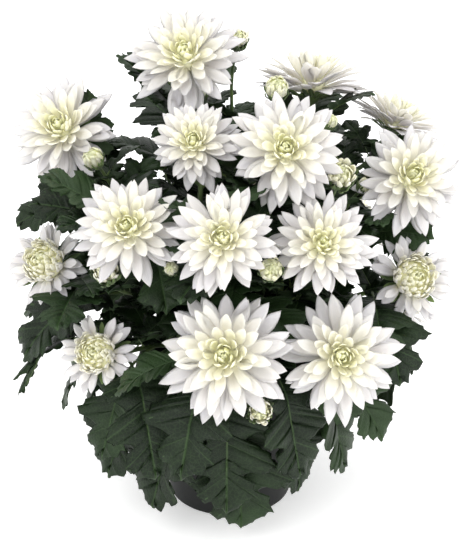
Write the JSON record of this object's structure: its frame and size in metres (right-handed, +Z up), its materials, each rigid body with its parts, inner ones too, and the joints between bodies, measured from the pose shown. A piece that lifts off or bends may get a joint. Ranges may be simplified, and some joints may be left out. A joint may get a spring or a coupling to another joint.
{
  "type": "potted chrysanthemum",
  "caption": "Potted chrysanthemum in full white flower, with buds and lobed leaves that hang over a plain tapered pot.",
  "frame": {"origin": "centre of the pot's base, on the surface it stands on", "axes": "+Z up along the pot's axis, -Y towards the side seen in the picture, +X to that view's right"},
  "size_m": [0.2883, 0.2823, 0.3301],
  "materials": {
    "pot": "matt dark grey moulded plastic",
    "soil": "crumbly moist peat",
    "petals": "soft white petals, cream to yellow-green at the heart",
    "buds": "soft pale green-white bud florets",
    "foliage": "dark green leaves, slightly glossy, with paler veins and undersides"
  },
  "bodies": {
    "root": {"pot": "pot", "soil": "soil", "bloom_front_low": "petals", "bloom_front_low_right": "petals", "bloom_front_middle": "petals", "bloom_front_high": "petals", "bloom_front_left": "petals", "bloom_front_right": "petals", "bloom_crown": "petals", "bloom_right_high": "petals", "bloom_left_high": "petals", "bloom_crown_back": "petals", "bloom_inner_left": "petals", "bloom_right_back_high": "petals", "bloom_left_young": "petals", "bloom_left_low_young": "petals", "bloom_right_young": "petals", "bloom_back_left": "petals", "bloom_back_middle": "petals", "bloom_back_right": "petals", "bloom_back_left_low": "petals", "bloom_back_right_low": "petals", "bloom_side_right": "petals", "bud_crown": "buds", "bud_high": "buds", "bud_high_right": "buds", "bud_right": "buds", "bud_left_high": "buds", "bud_left": "buds", "bud_front_left": "buds", "bud_front": "buds", "bud_front_low": "buds", "bud_right_small": "buds", "bud_back_high": "buds", "bud_back_right": "buds", "bud_back_left": "buds", "cutting_1": "foliage", "cutting_2": "foliage", "cutting_3": "foliage", "cutting_4": "foliage", "cutting_5": "foliage"}
  },
  "joints": []
}
